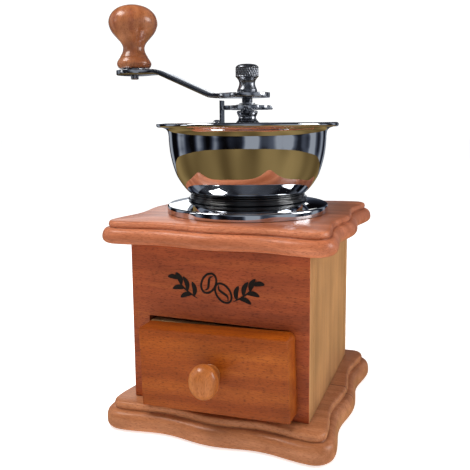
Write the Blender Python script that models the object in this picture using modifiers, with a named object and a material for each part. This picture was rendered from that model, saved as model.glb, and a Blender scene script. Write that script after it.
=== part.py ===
"""A box coffee grinder: a wooden cabinet with a drawer, a steel bowl for the beans, and a
cranked conical burr that hangs from a bridge inside the bowl.

Lengths are written in millimetres and become metres in the helpers. The frame's origin is the
centre of the base board's underside, +Z is up, and the drawer opens towards -Y.
"""
import math

import bmesh
import bpy
from mathutils import Matrix, Vector

MM = 0.001
GAP = 0.3                      # clearance between pieces that touch on the real grinder

# Cabinet
BOX_HALF = 48.0                # outside half width of the four panels
PANEL = 8.0                    # thickness of a panel
PANEL_EDGE = 0.8               # rounding of the cabinet's upright corners
BASE_TOP = 14.0
BOX_TOP = 99.2
BOARD_TOP = 110.6
BASE_HALF = 60.3               # half width of the base board at its fattest
TOP_HALF = 59.8
WAVE = 1.5                     # how far the edge swells in and out
CORNER = 9.0                   # corner radius of both boards
FEED_RADIUS = 21.0             # the hole that lets beans down to the burr

# Drawer
DRAWER_HALF = 37.0             # outside half width of the drawer box
DRAWER_LOW = 14.8
DRAWER_HIGH = 57.5
DRAWER_REAR = 36.0
DRAWER_WALL = 5.0
OPENING_HALF = 38.0
OPENING_TOP = 60.0
FRONT_HALF = 40.2              # the front that covers the opening
FRONT_HEIGHT = 42.8
FRONT_X = 1.5                  # the front and its knob are fixed a little off the middle
FRONT_MIDDLE = 37.4
FRONT_THICK = 10.9
FRONT_STRAIGHT = 1.2           # thickness before the bevel starts
FRONT_BEVEL = 1.2              # how far the face is drawn in by the bevel
FRONT_ROUND = 3.2
FRONT_TILT = 1.9               # degrees: the front is fixed a little askew
KNOB_LENGTH = 15.0
KNOB_OVAL = 1.15               # the knob is taller than it is wide

# Bowl and what carries it
PLATE_RADIUS = 44.9
PLATE_RIM = 114.3
PLATE_TOP = 116.9
NECK_TOP = 120.5
BOWL_BOTTOM = 120.8
BOWL_WALL = 1.0
RIM_RADIUS = 50.2
RIM_MIDDLE = 158.5
RIM_BEAD = 1.2

# Bridge, adjuster and shaft
BRIDGE_TOP = 158.5
BRIDGE_STRAP = 2.2
BRIDGE_WIDTH = 12.0
BRIDGE_REACH = 22.7            # outside of the two upright legs
FOOT_REACH = 30.5
BOLT_RADIUS = 26.4
STAR_LOW = 166.7
STAR_HIGH = 169.0
STAR_TIP = 14.1
STAR_NOTCHES = 9
LEAF_RADIUS = 14.6             # inner face of the leaf that clicks past the star
BUSH_RADIUS = 3.7
SHAFT_RADIUS = 2.5
SHOULDER = 170.7               # where the shaft grows thicker and rests on the thrust washer
ARM_LOW = 173.3
ARM_THICK = 2.7
ARM_RISE = 14.5                # how much higher the grip's end of the arm is
GRIP_X = -70.2
GRIP_LOW = 191.4
NUT_LOW = 176.4

# Burr
FLANGE_TOP = 98.9
BURR_LOW = 75.0
BURR_HIGH = 97.0

PARTS = "coffee_grinder"
CUTTERS = "cutters"


# --- Scene and helpers ---------------------------------------------------------------------

for old in list(bpy.data.objects):
    bpy.data.objects.remove(old, do_unlink=True)

for title in (PARTS, CUTTERS):
    if title not in bpy.data.collections:
        bpy.context.scene.collection.children.link(bpy.data.collections.new(title))


def metres(*lengths):
    """Turn millimetres into a vector in metres."""
    return Vector(lengths) * MM


def material(name, colour, roughness, metallic=0.0):
    """Make one Principled material."""
    made = bpy.data.materials.new(name)
    made.use_nodes = True
    shader = made.node_tree.nodes["Principled BSDF"]
    shader.inputs["Base Color"].default_value = (*colour, 1.0)
    shader.inputs["Roughness"].default_value = roughness
    shader.inputs["Metallic"].default_value = metallic
    made.diffuse_color = (*colour, 1.0)
    return made


def add(name, mesh, finish=None, place=(0, 0, 0), turn=(0, 0, 0)):
    """Link a mesh as a named part, or as a hidden cutter when it has no finish."""
    made = bpy.data.objects.new(name, mesh)
    made.location = metres(*place)
    made.rotation_euler = [math.radians(angle) for angle in turn]
    if finish is None:
        bpy.data.collections[CUTTERS].objects.link(made)
        made.hide_render = True
        made.display_type = "WIRE"
    else:
        bpy.data.collections[PARTS].objects.link(made)
        mesh.materials.append(finish)
    return made


def box(name, low, high, finish=None, edges=0.0, which=None):
    """A block between two corners, with the edges along one axis rounded if asked."""
    bm = bmesh.new()
    bmesh.ops.create_cube(bm, size=1.0)
    size = [top - bottom for bottom, top in zip(low, high)]
    middle = [(top + bottom) / 2 for bottom, top in zip(low, high)]
    bmesh.ops.scale(bm, vec=metres(*size), verts=bm.verts)
    if edges:
        rounded = [edge for edge in bm.edges if which(edge)]
        bmesh.ops.bevel(bm, geom=rounded, offset=edges * MM, segments=3, profile=0.5,
                        affect="EDGES")
    mesh = bpy.data.meshes.new(name)
    bm.to_mesh(mesh)
    bm.free()
    return add(name, mesh, finish, middle)


def rod(name, radius, low, high, finish=None, place=(0, 0, 0), turn=(0, 0, 0), sides=24):
    """A cylinder along its own Z, from low to high above its place."""
    bm = bmesh.new()
    lift = Matrix.Translation(metres(0, 0, (low + high) / 2))
    bmesh.ops.create_cone(bm, cap_ends=True, segments=sides, radius1=radius * MM,
                          radius2=radius * MM, depth=(high - low) * MM, matrix=lift)
    mesh = bpy.data.meshes.new(name)
    bm.to_mesh(mesh)
    bm.free()
    return add(name, mesh, finish, place, turn)


def smooth(part, angle=35):
    """Shade a round piece smooth, but keep its sharp edges."""
    part.data.shade_smooth()
    part.data.set_sharp_from_angle(angle=math.radians(angle))
    return part


def turned(name, profile, finish=None, place=(0, 0, 0), turn=(0, 0, 0), steps=32, ring=False):
    """Spin a profile of (radius, height) points, listed down the outside from the top.

    A ring's profile closes on itself, outside first and then up the bore."""
    bm = bmesh.new()
    points = [bm.verts.new(metres(radius, 0, height)) for radius, height in profile]
    pairs = list(zip(points, points[1:]))
    if ring:
        pairs.append((points[-1], points[0]))
    for pair in pairs:
        bm.edges.new(pair)
    mesh = bpy.data.meshes.new(name)
    bm.to_mesh(mesh)
    bm.free()
    made = add(name, mesh, finish, place, turn)
    spin = made.modifiers.new("Spin", "SCREW")
    spin.steps = steps
    spin.render_steps = steps
    spin.use_merge_vertices = True
    spin.merge_threshold = 0.00005
    spin.use_smooth_shade = True
    return made


def stacked(name, rings, finish=None, place=(0, 0, 0)):
    """Raise a solid from an outline, one ring of points at a time, by extruding its face."""
    bm = bmesh.new()
    number = bm.verts.layers.int.new("number")
    first = [bm.verts.new(metres(*point)) for point in rings[0]]
    for index, vert in enumerate(first):
        vert[number] = index
    face = bm.faces.new(first)
    for level, ring in enumerate(rings[1:]):
        grown = bmesh.ops.extrude_face_region(bm, geom=[face])
        if level:
            bmesh.ops.delete(bm, geom=[face], context="FACES_ONLY")
        face = next(item for item in grown["geom"] if isinstance(item, bmesh.types.BMFace))
        for vert in face.verts:
            vert.co = metres(*ring[vert[number]])
    bmesh.ops.recalc_face_normals(bm, faces=bm.faces)
    mesh = bpy.data.meshes.new(name)
    bm.to_mesh(mesh)
    bm.free()
    return add(name, mesh, finish, place)


def flat(name, outline, thick, finish=None, place=(0, 0, 0), turn=(0, 0, 0)):
    """A flat outline given as a filled 2D curve, made into a plate of the given thickness."""
    curve = bpy.data.curves.new(name + "_outline", "CURVE")
    curve.dimensions = "2D"
    curve.fill_mode = "BOTH"
    curve.extrude = thick / 2 * MM
    spline = curve.splines.new("POLY")
    spline.points.add(len(outline) - 1)
    for point, (across, along) in zip(spline.points, outline):
        point.co = (across * MM, along * MM, 0, 1)
    spline.use_cyclic_u = True
    return from_curve(name, curve, finish, place, turn)


def from_curve(name, curve, finish, place=(0, 0, 0), turn=(0, 0, 0)):
    """Turn a curve into a welded mesh part and throw the curve away."""
    guide = bpy.data.objects.new(name + "_guide", curve)
    bpy.context.scene.collection.objects.link(guide)
    ready = guide.evaluated_get(bpy.context.evaluated_depsgraph_get())
    mesh = bpy.data.meshes.new_from_object(ready)
    bpy.data.objects.remove(guide, do_unlink=True)
    bm = bmesh.new()
    bm.from_mesh(mesh)
    bmesh.ops.remove_doubles(bm, verts=bm.verts, dist=0.00001)
    bmesh.ops.recalc_face_normals(bm, faces=bm.faces)
    bm.to_mesh(mesh)
    bm.free()
    mesh.materials.clear()
    return add(name, mesh, finish, place, turn)


def combine(part, tool, operation="DIFFERENCE"):
    """Cut a tool out of a part, or weld it on."""
    step = part.modifiers.new(tool.name, "BOOLEAN")
    step.operation = operation
    step.object = tool
    return part


def weld(part, tool):
    """Join a hidden piece to a part."""
    return combine(part, tool, "UNION")


def carry(parts, name, place):
    """Parent parts to an empty that sits on their joint's axis."""
    axis = bpy.data.objects.new(name, None)
    axis.empty_display_size = 0.01
    axis.location = metres(*place)
    bpy.data.collections[PARTS].objects.link(axis)
    for part in parts:
        part.parent = axis
        part.matrix_parent_inverse = Matrix.Translation(-metres(*place))
    return axis


def arc(radius, start, end, segments, centre=(0, 0)):
    """Points on an arc, angles in degrees."""
    points = []
    for index in range(segments + 1):
        angle = math.radians(start + (end - start) * index / segments)
        points.append((centre[0] + radius * math.cos(angle), centre[1] + radius * math.sin(angle)))
    return points


# --- Materials -----------------------------------------------------------------------------

BEECH = material("stained_beech", (0.36, 0.13, 0.055), 0.35)
PALE_BEECH = material("pale_beech", (0.52, 0.30, 0.15), 0.55)
GRIP_BEECH = material("grip_beech", (0.50, 0.21, 0.09), 0.3)
CHROME = material("chromed_steel", (0.75, 0.76, 0.78), 0.08, 1.0)
BLACK = material("black_enamel", (0.012, 0.012, 0.014), 0.15)
STEEL = material("zinc_plated_steel", (0.55, 0.56, 0.58), 0.3, 1.0)
IRON = material("cast_iron", (0.10, 0.10, 0.11), 0.6, 1.0)
BRASS = material("brass", (0.75, 0.55, 0.25), 0.3, 1.0)


# --- Cabinet -------------------------------------------------------------------------------

def wavy_outline(half, inset):
    """A square with round corners whose sides swell at their middles and at the corners."""
    straight = half - CORNER
    points = []
    for side in range(4):
        local = []
        for step in range(-7, 7):
            along = straight * step / 7
            swell = WAVE * math.cos(2 * math.pi * along / straight)
            local.append((along, -(half + swell - inset)))
        for step in range(4):
            angle = math.radians(-90 + 90 * step / 4)
            reach = CORNER + WAVE - inset
            local.append((straight + reach * math.cos(angle), -straight + reach * math.sin(angle)))
        turn = math.radians(90 * side)
        for x, y in local:
            points.append((x * math.cos(turn) - y * math.sin(turn),
                           x * math.sin(turn) + y * math.cos(turn)))
    return points


def moulded_board(name, half, edge):
    """A board whose edge is a fat round moulding below a small step."""
    rings = []
    for inset, height in edge:
        rings.append([(x, y, height) for x, y in wavy_outline(half, inset)])
    return stacked(name, rings, BEECH)


BASE_EDGE = [(2.0, 0.0), (0.4, 1.8), (0.0, 5.0), (0.8, 8.3), (2.6, 9.8), (4.6, 10.1),
             (4.3, 12.7), (5.6, BASE_TOP)]
TOP_EDGE = [(2.6, BOX_TOP), (0.6, 100.8), (0.0, 103.2), (0.6, 105.6), (2.2, 107.0), (3.9, 107.3),
            (3.6, 109.5), (4.8, BOARD_TOP)]


def make_cabinet():
    """Two moulded boards and the four panels between them."""
    moulded_board("base_board", BASE_HALF, BASE_EDGE)
    top = moulded_board("top_board", TOP_HALF, TOP_EDGE)
    combine(top, rod("feed_cutter", FEED_RADIUS, 95, 120, sides=32))
    low = BASE_TOP + GAP
    high = BOX_TOP - GAP
    inner = BOX_HALF - PANEL

    def front_corner(edge):
        return abs(edge.verts[0].co.z - edge.verts[1].co.z) > MM and edge.verts[0].co.y < 0

    def rear_corner(edge):
        return abs(edge.verts[0].co.z - edge.verts[1].co.z) > MM and edge.verts[0].co.y > 0

    front = box("front_panel", (-BOX_HALF, -BOX_HALF, low), (BOX_HALF, -inner, high), BEECH,
                PANEL_EDGE, front_corner)
    opening = box("opening_cutter", (-OPENING_HALF, -60, 10), (OPENING_HALF, -30, OPENING_TOP))
    combine(front, opening)
    box("back_panel", (-BOX_HALF, inner, low), (BOX_HALF, BOX_HALF, high), BEECH,
        PANEL_EDGE, rear_corner)
    box("left_panel", (-BOX_HALF, -inner + GAP, low), (-inner, inner - GAP, high), BEECH)
    box("right_panel", (inner, -inner + GAP, low), (BOX_HALF, inner - GAP, high), BEECH)
    guide_inner = DRAWER_HALF + 0.8
    for side, sign in (("left", -1), ("right", 1)):
        across = sorted((sign * guide_inner, sign * (inner - GAP)))
        box(f"drawer_guide_{side}", (across[0], -inner + GAP, low),
            (across[1], inner - GAP, low + 20), PALE_BEECH)


def screw(name, place, turn, length, head=3.4, core=1.6, sides=12):
    """A countersunk wood screw that points along its own -Z, head at its place."""
    profile = [(0, 0), (head, 0), (core, -(head - core)), (core, -(length - 3)), (0, -length)]
    return turned(name, profile, STEEL, place, turn, sides)


def make_base_screws():
    """Four screws come up through the base board into the side panels."""
    hole_top = 32
    for index, (x, y) in enumerate(((-44, -28), (44, -28), (44, 28), (-44, 28)), start=1):
        screw(f"base_screw_{index}", (x, y, 0.6), (180, 0, 0), 30)
        room = [(0, hole_top + 1), (1.9, hole_top), (1.9, 2.5), (3.9, 0.5), (3.9, -1), (0, -1)]
        pocket = turned(f"base_screw_cutter_{index}", room, None, (x, y, 0), steps=12)
        combine(bpy.data.objects["base_board"], pocket)
        combine(bpy.data.objects["left_panel" if x < 0 else "right_panel"], pocket)


# --- Drawer --------------------------------------------------------------------------------

def make_drawer():
    """A box of thin boards behind a chamfered front with a turned knob."""
    face_back = -(BOX_HALF + 0.4)
    inner_front = face_back + GAP
    wall = DRAWER_WALL
    inside = DRAWER_HALF - wall
    parts = []
    for side, sign in (("left", -1), ("right", 1)):
        across = sorted((sign * DRAWER_HALF, sign * inside))
        parts.append(box(f"drawer_{side}_side", (across[0], inner_front, DRAWER_LOW),
                         (across[1], DRAWER_REAR, DRAWER_HIGH), PALE_BEECH))
    across = inside - GAP
    parts.append(box("drawer_inner_front", (-across, inner_front, DRAWER_LOW),
                     (across, inner_front + wall, DRAWER_HIGH), PALE_BEECH))
    parts.append(box("drawer_back", (-across, DRAWER_REAR - wall, DRAWER_LOW),
                     (across, DRAWER_REAR, DRAWER_HIGH), PALE_BEECH))
    parts.append(box("drawer_bottom", (-across, inner_front + wall + GAP, DRAWER_LOW + 1),
                     (across, DRAWER_REAR - wall - GAP, DRAWER_LOW + 4), PALE_BEECH))

    outer = FRONT_HALF
    tall = FRONT_HEIGHT / 2
    middle = (FRONT_X, face_back, FRONT_MIDDLE)
    corners = []
    for start, x, z in ((-90, 1, -1), (0, 1, 1), (90, -1, 1), (180, -1, -1)):
        centre = (x * (outer - FRONT_ROUND), z * (tall - FRONT_ROUND))
        corners.append((start, centre))
    rings = []
    for depth, inset in ((0, 0), (FRONT_STRAIGHT, 0), (FRONT_THICK, FRONT_BEVEL)):
        ring = []
        for start, centre in corners:
            reach = FRONT_ROUND - inset
            ring += [(x, -depth, z) for x, z in arc(reach, start, start + 90, 3, centre)]
        rings.append(ring)
    front = stacked("drawer_front", rings, BEECH, middle)
    front.rotation_euler = (0, math.radians(-FRONT_TILT), 0)
    parts.append(front)

    knob_profile = [(0, KNOB_LENGTH), (3.2, 14.6), (5.8, 13.2), (7.2, 11.0), (7.6, 8.6),
                    (7.0, 6.2), (5.8, 4.4), (4.8, 2.8), (4.5, 1.2), (4.8, 0.0), (0, 0)]
    face = face_back - FRONT_THICK - GAP
    knob = turned("drawer_knob", knob_profile, GRIP_BEECH, (FRONT_X, face, FRONT_MIDDLE),
                  (90, 0, 0), 24)
    knob.scale = (1, KNOB_OVAL, 1)
    head = face_back + GAP + wall + 1.6
    bolt_profile = [(0, 0), (3.0, 0), (3.0, -1.4), (1.5, -1.5), (1.5, -26), (0, -26)]
    bolt = turned("drawer_knob_screw", bolt_profile, STEEL, (FRONT_X, head, FRONT_MIDDLE),
                  (-90, 0, 0), 12)
    bore = rod("knob_screw_cutter", 1.8, 1.0, 27, None, (FRONT_X, head, FRONT_MIDDLE),
               (90, 0, 0), 12)
    for part in (bpy.data.objects["drawer_inner_front"], front, knob):
        combine(part, bore)
    parts += [knob, bolt]
    carry(parts, "drawer_slide", (0, -BOX_HALF, DRAWER_LOW))


# --- Bowl, collar and burr housing ---------------------------------------------------------

def make_collar_and_bowl():
    """The chromed plate on the top board, the black neck and the open bowl."""
    plate_profile = [(22, PLATE_TOP), (34.5, PLATE_TOP), (43.8, PLATE_RIM + 0.5),
                     (PLATE_RADIUS, PLATE_RIM - 0.6), (PLATE_RADIUS, BOARD_TOP + GAP),
                     (22, BOARD_TOP + GAP)]
    plate = turned("collar_plate", plate_profile, CHROME, steps=48, ring=True)
    low = PLATE_TOP + GAP
    neck_profile = [(21, NECK_TOP), (31.2, NECK_TOP), (32.4, 119.8), (31.9, 119.0),
                    (33.2, 118.1), (33.6, low), (21, low)]
    neck = turned("neck_ring", neck_profile, BLACK, steps=40, ring=True)

    outside = [(43.7, 155.6), (43.4, 148.2), (42.6, 141.4), (41.2, 135.8), (39.4, 130.8),
               (37.2, 126.9), (34.5, 123.5), (31.6, BOWL_BOTTOM)]
    bead = arc(RIM_BEAD, 200, -70, 6, (RIM_RADIUS - RIM_BEAD, RIM_MIDDLE))
    inside = [(radius - BOWL_WALL, height + 0.3) for radius, height in reversed(outside[:-1])]
    floor = [(19, BOWL_BOTTOM), (19, BOWL_BOTTOM + BOWL_WALL),
             (31.2, BOWL_BOTTOM + BOWL_WALL)]
    bowl = turned("bowl", bead + outside + floor + inside, CHROME, steps=48, ring=True)

    housing_profile = [(19.6, FLANGE_TOP), (31, FLANGE_TOP), (31, 96.7), (22.0, 96.7),
                       (21.6, 73.0), (18.2, 73.0), (18.2, 76.0), (19.6, 76.6)]
    housing = turned("burr_housing", housing_profile, IRON, steps=32, ring=True)
    for side, sign in (("left", -1), ("right", 1)):
        place = (sign * BOLT_RADIUS, 0, 0)
        bolt_profile = [(0, 126.8), (2.2, 126.6), (3.4, 124.8), (2.0, 124.7), (2.0, 92.5),
                        (0, 92.5)]
        turned(f"bridge_bolt_{side}", bolt_profile, STEEL, place, steps=12)
        passage = rod(f"bolt_cutter_{side}", 2.3, 80, 127, None, place, sides=12)
        for part in (plate, neck, bowl, housing, bpy.data.objects["top_board"]):
            combine(part, passage)
        nut = rod(f"bridge_nut_{side}", 3.9, 93.2, 96.4, STEEL, place, sides=6)
        combine(nut, passage)
    for side, sign in (("front", -1), ("rear", 1)):
        place = (0, sign * BOLT_RADIUS, 96.2)
        screw(f"housing_screw_{side}", place, (180, 0, 0), 13)
        room = [(0, 13.8), (1.9, 13.4), (1.9, 2.4), (3.9, 0.4), (3.9, -2), (0, -2)]
        pocket = turned(f"housing_screw_cutter_{side}", room, None, place, steps=12)
        for part in (housing, bpy.data.objects["top_board"]):
            combine(part, pocket)


def toothed(radius, depth, teeth, twist, height):
    """A ring of tooth tips and roots, turned by twist degrees, at one height."""
    ring = []
    for index in range(teeth * 2):
        angle = math.radians(twist + 180 * index / teeth)
        reach = radius if index % 2 == 0 else radius - depth
        ring.append((reach * math.cos(angle), reach * math.sin(angle), height))
    return ring


def make_burrs():
    """The fixed outer burr, and the cone that turns inside it."""
    outer_profile = [(19.2, BURR_HIGH), (19.2, 77.0), (12, 77.0), (12, BURR_HIGH)]
    outer = turned("outer_burr", outer_profile, IRON, steps=32, ring=True)
    levels = ((70.0, 15.9, 0), (79.0, 16.2, 6), (86.0, 16.8, 11), (100.0, 18.3, 20))
    cavity = [toothed(radius, 0.9, 18, twist, height) for height, radius, twist in levels]
    combine(outer, stacked("outer_burr_cutter", cavity))

    levels = ((BURR_LOW, 14.4, 0), (79.0, 13.9, 8), (85.0, 11.6, 26), (91.0, 9.2, 44),
              (BURR_HIGH, 7.0, 62))
    cone = [toothed(radius, 1.5, 9, twist, height) for height, radius, twist in levels]
    inner = stacked("inner_burr", cone, IRON)
    combine(inner, rod("inner_burr_cutter", SHAFT_RADIUS + 0.3, 60, 110))
    washer_profile = [(2.9, BURR_LOW - GAP), (8, BURR_LOW - GAP), (8, 73.5), (2.9, 73.5)]
    washer = turned("burr_washer", washer_profile, STEEL, steps=20, ring=True)
    nut = rod("burr_nut", 4.4, 69.8, 73.2, STEEL, sides=6)
    combine(nut, rod("burr_nut_cutter", SHAFT_RADIUS + 0.3, 60, 110))
    return [inner, washer, nut]


# --- Bridge, adjuster and crank ------------------------------------------------------------

def make_bridge():
    """A strap that stands on the bowl's floor and carries the hub over its middle."""
    low = BOWL_BOTTOM + BOWL_WALL + GAP
    thick = BRIDGE_STRAP
    inner = BRIDGE_REACH - thick
    under = BRIDGE_TOP - thick
    half_outside = [(FOOT_REACH, low), (FOOT_REACH, low + thick), (BRIDGE_REACH, low + thick)]
    half_outside += arc(4, 0, 90, 3, (BRIDGE_REACH - 4, BRIDGE_TOP - 4))
    half_inside = arc(1.8, 90, 0, 2, (inner - 1.8, under - 1.8)) + [(inner, low)]
    right = half_outside
    left = [(-x, z) for x, z in reversed(half_outside)]
    under_left = [(-x, z) for x, z in reversed(half_inside)]
    outline = right + left + under_left + half_inside
    bridge = flat("bridge", outline, BRIDGE_WIDTH, STEEL, turn=(90, 0, 0))
    combine(bridge, rod("hub_cutter", 5.3, 150, 162))
    for sign in (-1, 1):
        hole = rod(f"foot_cutter_{sign + 2}", 2.3, 120, 130, None, (sign * BOLT_RADIUS, 0, 0),
                   sides=12)
        combine(bridge, hole)

    hub_low = BRIDGE_TOP + GAP
    hub_profile = [(4.0, 166.2), (5.1, 166.2), (5.8, 165.3), (5.5, 164.0), (4.8, 162.7),
                   (5.2, 161.4), (6.2, 160.2), (7.4, hub_low), (5.0, hub_low), (5.0, 154.6),
                   (4.0, 154.6)]
    turned("hub_bearing", hub_profile, STEEL, steps=24, ring=True)

    foot = BRIDGE_TOP + GAP
    leaf = [(-LEAF_RADIUS, foot), (-LEAF_RADIUS, 172.0), (-LEAF_RADIUS - 0.9, 172.0),
            (-LEAF_RADIUS - 0.9, foot + 1.6), (-LEAF_RADIUS - 1.4, foot + 1.0), (-20.6, foot + 1.0),
            (-20.6, foot)]
    made = flat("stop_leaf", leaf, 5.4, STEEL, turn=(90, 0, 0))
    place = (-18.3, 0, foot + 2.6)
    profile = [(0, 0), (1.4, -0.3), (2.0, -1.3), (0.9, -1.3), (0.9, -6.0), (0, -6.0)]
    turned("leaf_screw", profile, STEEL, place, steps=12)
    passage = rod("leaf_screw_cutter", 1.2, -8, 0, None, place, sides=12)
    combine(made, passage)
    combine(bridge, passage)


def star_outline():
    """A round disc with a scalloped edge, one hollow for each click."""
    points = []
    per_notch = 6
    for index in range(STAR_NOTCHES * per_notch):
        angle = 2 * math.pi * index / (STAR_NOTCHES * per_notch)
        dip = max(0.0, math.cos(STAR_NOTCHES * angle)) * 2.2
        reach = STAR_TIP - dip
        points.append((reach * math.cos(angle), reach * math.sin(angle)))
    return points


def make_adjuster():
    """The star is one piece with a threaded bush that screws down into the hub."""
    thick = STAR_HIGH - STAR_LOW
    star = flat("adjusting_star", star_outline(), thick, STEEL, (0, 0, STAR_LOW + thick / 2))
    weld(star, rod("bush_blank", BUSH_RADIUS, 157.0, STAR_HIGH - 0.6))
    boss = turned("star_boss", [(0, 169.6), (5.8, 169.6), (6.8, 168.6), (6.8, 167.6), (0, 167.6)],
                  None, steps=24)
    weld(star, boss)
    combine(star, rod("star_bore_cutter", SHAFT_RADIUS + 0.25, 150, 175))
    high = SHOULDER - GAP
    profile = [(2.8, high), (4.4, high), (4.4, high - 0.5), (2.8, high - 0.5)]
    washer = turned("thrust_washer", profile, STEEL, steps=20, ring=True)
    carry([star, washer], "adjuster_axis", (0, 0, STAR_LOW))


def make_shaft():
    """The spindle from the thumb nut's thread down to the burr nut's."""
    profile = [(0, 188.0), (2.0, 187.6), (2.1, 173.0), (3.1, 172.9), (3.1, SHOULDER),
               (SHAFT_RADIUS, SHOULDER), (SHAFT_RADIUS, 69.0), (0, 68.2)]
    shaft = turned("drive_shaft", profile, STEEL, steps=20)
    square = box("square_blank", (-2.3, -2.3, 172.6), (2.3, 2.3, 175.6))
    weld(shaft, square)
    return shaft


def make_spring():
    """The spring that holds the shaft down on the star, its washer and its clip."""
    turns = 5
    per_turn = 10
    low = 138.4
    high = 155.2
    radius = 6.6
    wire = 0.7
    curve = bpy.data.curves.new("spring_wire", "CURVE")
    curve.dimensions = "3D"
    curve.bevel_depth = wire * MM
    curve.bevel_resolution = 1
    curve.use_fill_caps = True
    spline = curve.splines.new("POLY")
    total = turns * per_turn
    spline.points.add(total)
    for index, point in enumerate(spline.points):
        angle = 2 * math.pi * index / per_turn
        height = low + (high - low) * index / total
        point.co = (radius * MM * math.cos(angle), radius * MM * math.sin(angle), height * MM, 1)
    smooth(from_curve("pressure_spring", curve, STEEL))
    washer_profile = [(2.8, 137.3), (8.6, 137.3), (8.6, 136.1), (2.8, 136.1)]
    washer = turned("spring_washer", washer_profile, STEEL, steps=20, ring=True)
    clip_profile = [(2.8, 135.8), (5.0, 135.8), (5.0, 134.8), (2.8, 134.8)]
    clip = turned("spring_clip", clip_profile, STEEL, steps=20, ring=True)
    return [washer, clip]


def arm_sections():
    """Rectangular sections from the hub's round eye, up the slope, to the grip's round end."""
    high = ARM_LOW + ARM_RISE
    eye = 12.6
    end = 10.6
    neck = 6.3
    places = []
    for angle in (8, 30, 55, 80, 105):
        places.append((eye * math.cos(math.radians(angle)), ARM_LOW,
                       eye * math.sin(math.radians(angle))))
    places += [(-9.0, ARM_LOW, 9.6), (-15.0, ARM_LOW, neck + 0.8), (-19.2, ARM_LOW + 0.1, neck),
               (-21.5, ARM_LOW + 1.0, neck), (-52.5, high - 1.0, neck), (-55.0, high - 0.1, neck)]
    places.append((-60.0, high, 7.4))
    for angle in (115, 90, 65, 35, 10):
        places.append((GRIP_X - end * math.cos(math.radians(angle)), high,
                       end * math.sin(math.radians(angle))))
    rings = []
    for x, low, half in places:
        rings.append([(x, -half, low), (x, half, low), (x, half, low + ARM_THICK),
                      (x, -half, low + ARM_THICK)])
    return rings


def make_crank(more):
    """Arm, thumb nut and everything that turns with them."""
    arm = stacked("crank_arm", arm_sections(), STEEL)
    lug = box("lug_blank", (7.2, -3.0, ARM_LOW + 1), (11.2, 3.0, ARM_LOW + ARM_THICK + 3.0))
    weld(arm, lug)
    combine(arm, box("square_cutter", (-2.7, -2.7, 165), (2.7, 2.7, 180)))
    combine(arm, rod("grip_pin_cutter", 2.6, 180, 200, None, (GRIP_X, 0, 0), sides=16))

    nut_profile = [(0, 191.6), (4.0, 191.3), (5.8, 190.4), (6.4, 189.0), (6.4, 184.6),
                   (5.2, 183.0), (4.4, 181.4), (4.5, 179.4), (5.5, 177.6), (5.5, NUT_LOW),
                   (0, NUT_LOW)]
    nut = turned("thumb_nut", nut_profile, STEEL, steps=24)
    combine(nut, rod("nut_cutter", 2.4, 170, 188.6, sides=20))

    arm_top = ARM_LOW + ARM_RISE + ARM_THICK
    pin_profile = [(0, 214.0), (3.0, 213.4), (3.0, 212.0), (2.3, 211.8), (2.3, arm_top - 5.0),
                   (0, arm_top - 5.2)]
    pin = turned("grip_pin", pin_profile, STEEL, (GRIP_X, 0, 0), steps=16)
    washer_profile = [(2.7, 191.2), (6.5, 191.2), (6.5, arm_top + GAP), (2.7, arm_top + GAP)]
    washer = turned("grip_washer", washer_profile, STEEL, (GRIP_X, 0, 0), steps=20, ring=True)
    body = [arm, nut, pin, washer, make_shaft()] + more
    carry(body, "crank_axis", (0, 0, ARM_LOW))


def make_grip():
    """A turned pear that spins on its pin."""
    low = GRIP_LOW + 0.2
    profile = [(0, 227.8), (4.5, 227.3), (8.8, 225.7), (12.2, 223.0), (14.1, 219.6),
               (14.2, 216.4), (12.7, 212.6), (9.7, 209.0), (7.2, 206.2), (6.2, 203.6),
               (6.7, 200.8), (8.1, 198.2), (10.0, 195.2), (10.1, 193.6), (8.6, low), (0, low)]
    grip = turned("grip", profile, GRIP_BEECH, (GRIP_X, 0, 0), steps=28)
    combine(grip, rod("grip_cutter", 3.3, 180, 214.6, None, (GRIP_X, 0, 0), sides=16))
    carry([grip], "grip_axis", (GRIP_X, 0, GRIP_LOW))


make_cabinet()
make_base_screws()
make_drawer()
make_collar_and_bowl()
make_bridge()
make_adjuster()
turning = make_burrs() + make_spring()
make_crank(turning)
make_grip()
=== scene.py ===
# %% [markdown]
# # A box coffee grinder
# This notebook dresses a hand coffee grinder: a stained beech cabinet with a drawer, a chromed
# bowl for the beans, and a crank that turns a burr below. The mechanical model is loaded as a
# fixed frame, and every piece that shows gets a finer mesh or a better finish around it.

# %% Load the frame
import math

import bmesh
import bpy
from mathutils import Matrix, Vector


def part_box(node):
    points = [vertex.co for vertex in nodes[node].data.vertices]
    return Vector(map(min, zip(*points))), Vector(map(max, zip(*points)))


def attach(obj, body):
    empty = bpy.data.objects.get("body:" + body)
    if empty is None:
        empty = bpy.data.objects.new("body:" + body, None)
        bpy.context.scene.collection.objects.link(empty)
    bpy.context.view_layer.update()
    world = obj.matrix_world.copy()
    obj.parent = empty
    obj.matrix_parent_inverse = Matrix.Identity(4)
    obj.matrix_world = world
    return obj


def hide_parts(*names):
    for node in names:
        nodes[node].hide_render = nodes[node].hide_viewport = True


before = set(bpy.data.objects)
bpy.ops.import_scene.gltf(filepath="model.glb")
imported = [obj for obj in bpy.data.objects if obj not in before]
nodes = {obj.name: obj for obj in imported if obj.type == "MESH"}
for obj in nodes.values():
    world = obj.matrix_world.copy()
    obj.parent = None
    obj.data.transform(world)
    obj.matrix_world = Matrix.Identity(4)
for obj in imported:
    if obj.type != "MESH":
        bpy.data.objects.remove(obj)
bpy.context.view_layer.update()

# %% [markdown]
# ## Units and colours
# Lengths are written in millimetres, because that is how a maker measures a coffee mill, and
# one factor turns them into metres. Colours are written as the hex values a colour picker
# shows, so one function turns them into the linear values that shaders expect.

# %% Millimetres and hex colours
MM = 0.001


def metres(*lengths):
    return Vector(lengths) * MM


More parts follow.
